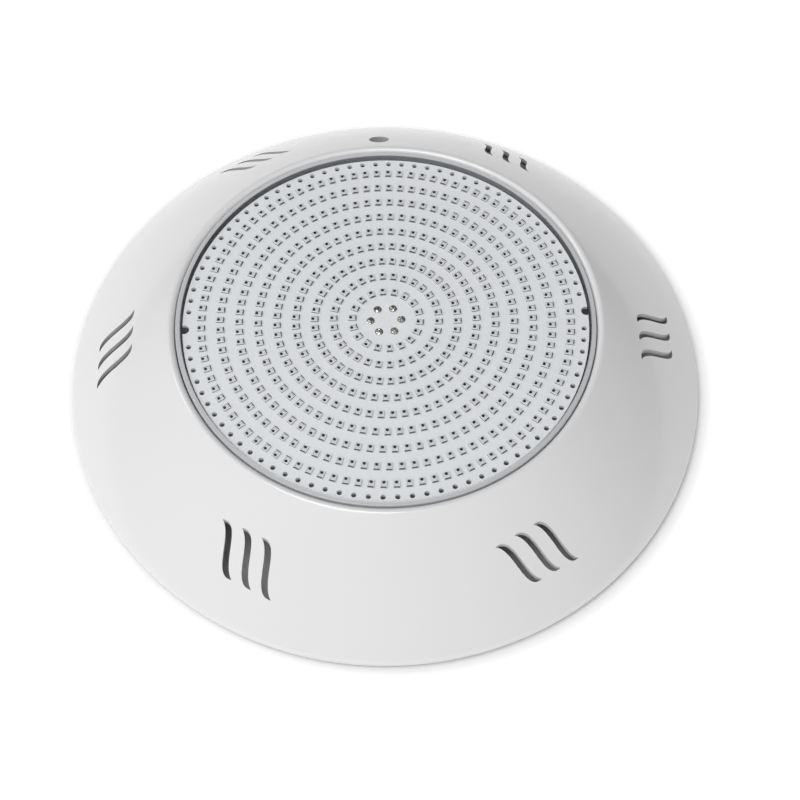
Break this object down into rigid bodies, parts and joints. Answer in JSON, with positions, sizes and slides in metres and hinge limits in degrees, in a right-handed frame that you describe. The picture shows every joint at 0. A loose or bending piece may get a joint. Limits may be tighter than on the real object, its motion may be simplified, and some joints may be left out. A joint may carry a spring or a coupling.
{
  "type": "underwater pool light",
  "caption": "Round surface-mounted underwater pool light: white domed skirt with curved vent slots, clear cover over an LED disc, hooked on a wall bracket and held by one screw.",
  "frame": {"origin": "where the lamp's axis meets the wall plane, at the centre of the bracket's back face", "axes": "+Z out of the wall towards the swimmer, +Y up the wall to 12 o'clock (the lock screw), +X to the right"},
  "size_m": [0.29, 0.29, 0.05],
  "materials": {
    "white_abs": "glossy moulded ABS",
    "white_abs_bracket": "satin moulded ABS",
    "grey_abs": "satin moulded ABS",
    "clear_cover": "clear polycarbonate",
    "silicone": "translucent white silicone",
    "white_board": "white solder mask",
    "led_package": "white LED package",
    "resin": "dark cast epoxy",
    "stainless": "A4 stainless steel",
    "black_rubber": "EPDM",
    "brass": "machined brass",
    "tinned_copper": "tinned copper",
    "solder": "bright tin solder",
    "green_board": "green solder mask",
    "capacitor_sleeve": "dark shrink sleeve",
    "copper_winding": "enamelled copper",
    "black_epoxy": "moulded epoxy",
    "terminal_plastic": "green nylon",
    "gland_nylon": "white nylon"
  },
  "bodies": {
    "bracket": {"wall_bracket": "white_abs_bracket", "bracket_insert": "brass"},
    "lamp": {"face_ring": "white_abs", "rear_casing": "grey_abs", "lens": "clear_cover", "lens_gasket": "silicone", "led_board": "white_board", "potting_resin": "resin", "casing_screws": "stainless", "hinge_pin": "stainless", "link_pins": "tinned_copper", "solder_joints": "solder", "driver_board": "green_board", "storage_capacitors": "capacitor_sleeve", "choke": "copper_winding", "bridge_rectifier": "black_epoxy", "driver_chips": "black_epoxy", "terminal_block": "terminal_plastic", "gland_body": "gland_nylon", "gland_nut": "gland_nylon", "gland_locknut": "gland_nylon", "gland_seal": "black_rubber", "gland_washer": "black_rubber", "led_ring_1": "led_package", "led_ring_2": "led_package", "led_ring_3": "led_package", "led_ring_4": "led_package", "led_ring_5": "led_package", "led_ring_6": "led_package", "led_ring_7": "led_package", "led_ring_8": "led_package", "led_ring_9": "led_package"},
    "washer": {"lock_washer": "black_rubber"},
    "screw": {"lock_screw": "stainless"}
  },
  "joints": [
    {"name": "lamp_tilt", "type": "hinge", "parent": "bracket", "child": "lamp", "pos_m": [0, -0.127, 0.009], "axis": [1, 0, 0], "range_deg": [0, 7.5]},
    {"name": "lock_screw_travel", "type": "slide", "parent": "lamp", "child": "washer", "axis": [0, 0, 1], "range_m": [0, 0.008]},
    {"name": "lock_screw_turn", "type": "hinge", "parent": "washer", "child": "screw", "pos_m": [0, 0.107, 0.026], "axis": [0, 0, 1], "range_deg": [0, 3600]}
  ],
  "couplings": [
    {"joint": "lock_screw_turn", "follows": "lock_screw_travel", "rad_per_m": 7853.9}
  ]
}
